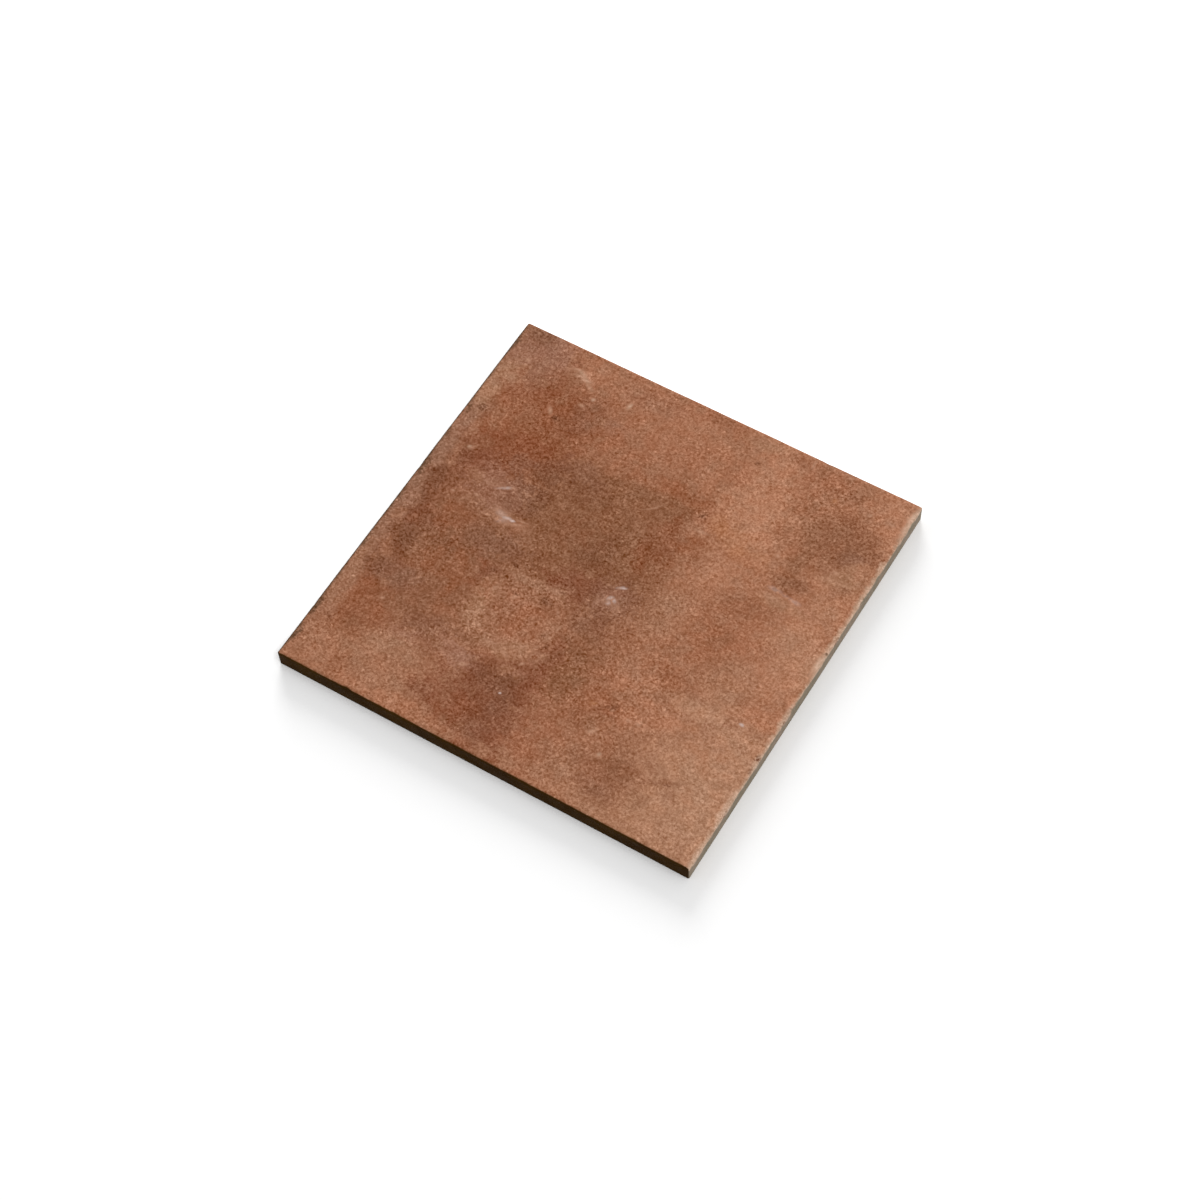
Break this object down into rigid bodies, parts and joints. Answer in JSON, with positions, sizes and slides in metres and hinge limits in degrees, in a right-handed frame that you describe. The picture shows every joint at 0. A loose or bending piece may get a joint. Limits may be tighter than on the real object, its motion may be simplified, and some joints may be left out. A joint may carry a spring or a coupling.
{
  "type": "porcelain tile",
  "caption": "Square unglazed porcelain floor tile with a matt mottled terracotta face, a soft wavy worn arris and a waffle-keyed back.",
  "frame": {"origin": "on the bed plane, the plane of the ribs on the back, under the tile's centre", "axes": "+Z out of the face; +X and +Y along the sides, so that -Y and +X are the two sides that the picture shows"},
  "size_m": [0.2, 0.2, 0.009],
  "materials": {
    "porcelain": "matte"
  },
  "bodies": {
    "root": {"tile": "porcelain"}
  },
  "joints": []
}
